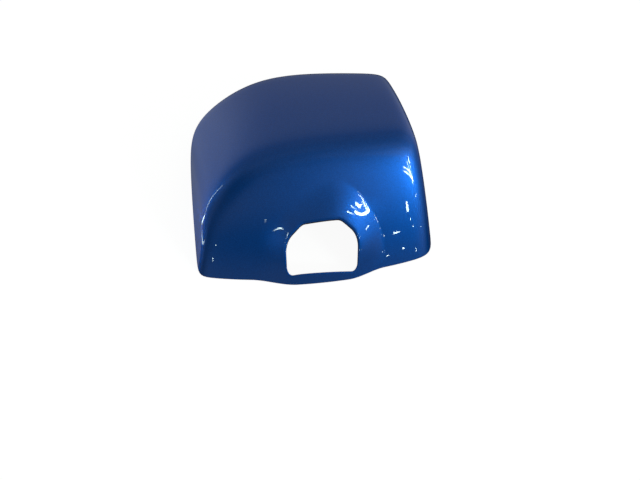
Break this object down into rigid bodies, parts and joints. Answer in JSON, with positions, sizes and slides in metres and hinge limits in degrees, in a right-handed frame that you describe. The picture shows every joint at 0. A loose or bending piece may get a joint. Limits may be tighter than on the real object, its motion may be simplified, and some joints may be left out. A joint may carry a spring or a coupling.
{
  "type": "wing mirror cover",
  "caption": "Moulded and painted wing mirror cover: one open shell with bevelled facets and a raised hood round its arm opening.",
  "frame": {"origin": "centre of the bounding box in plan, in the plane of the open rim", "axes": "+Z out of the rim plane towards the crown, which is the vehicle's forward direction when fitted; -Y to the near edge with the arm opening, which is the vehicle's down; +X to the tall end wall"},
  "size_m": [0.2066, 0.2092, 0.0812],
  "materials": {
    "painted_shell": "metallic mid blue paint under a gloss clear coat on the outer face, bare black moulded plastic inside"
  },
  "bodies": {
    "root": {"mirror_cover": "painted_shell"}
  },
  "joints": []
}
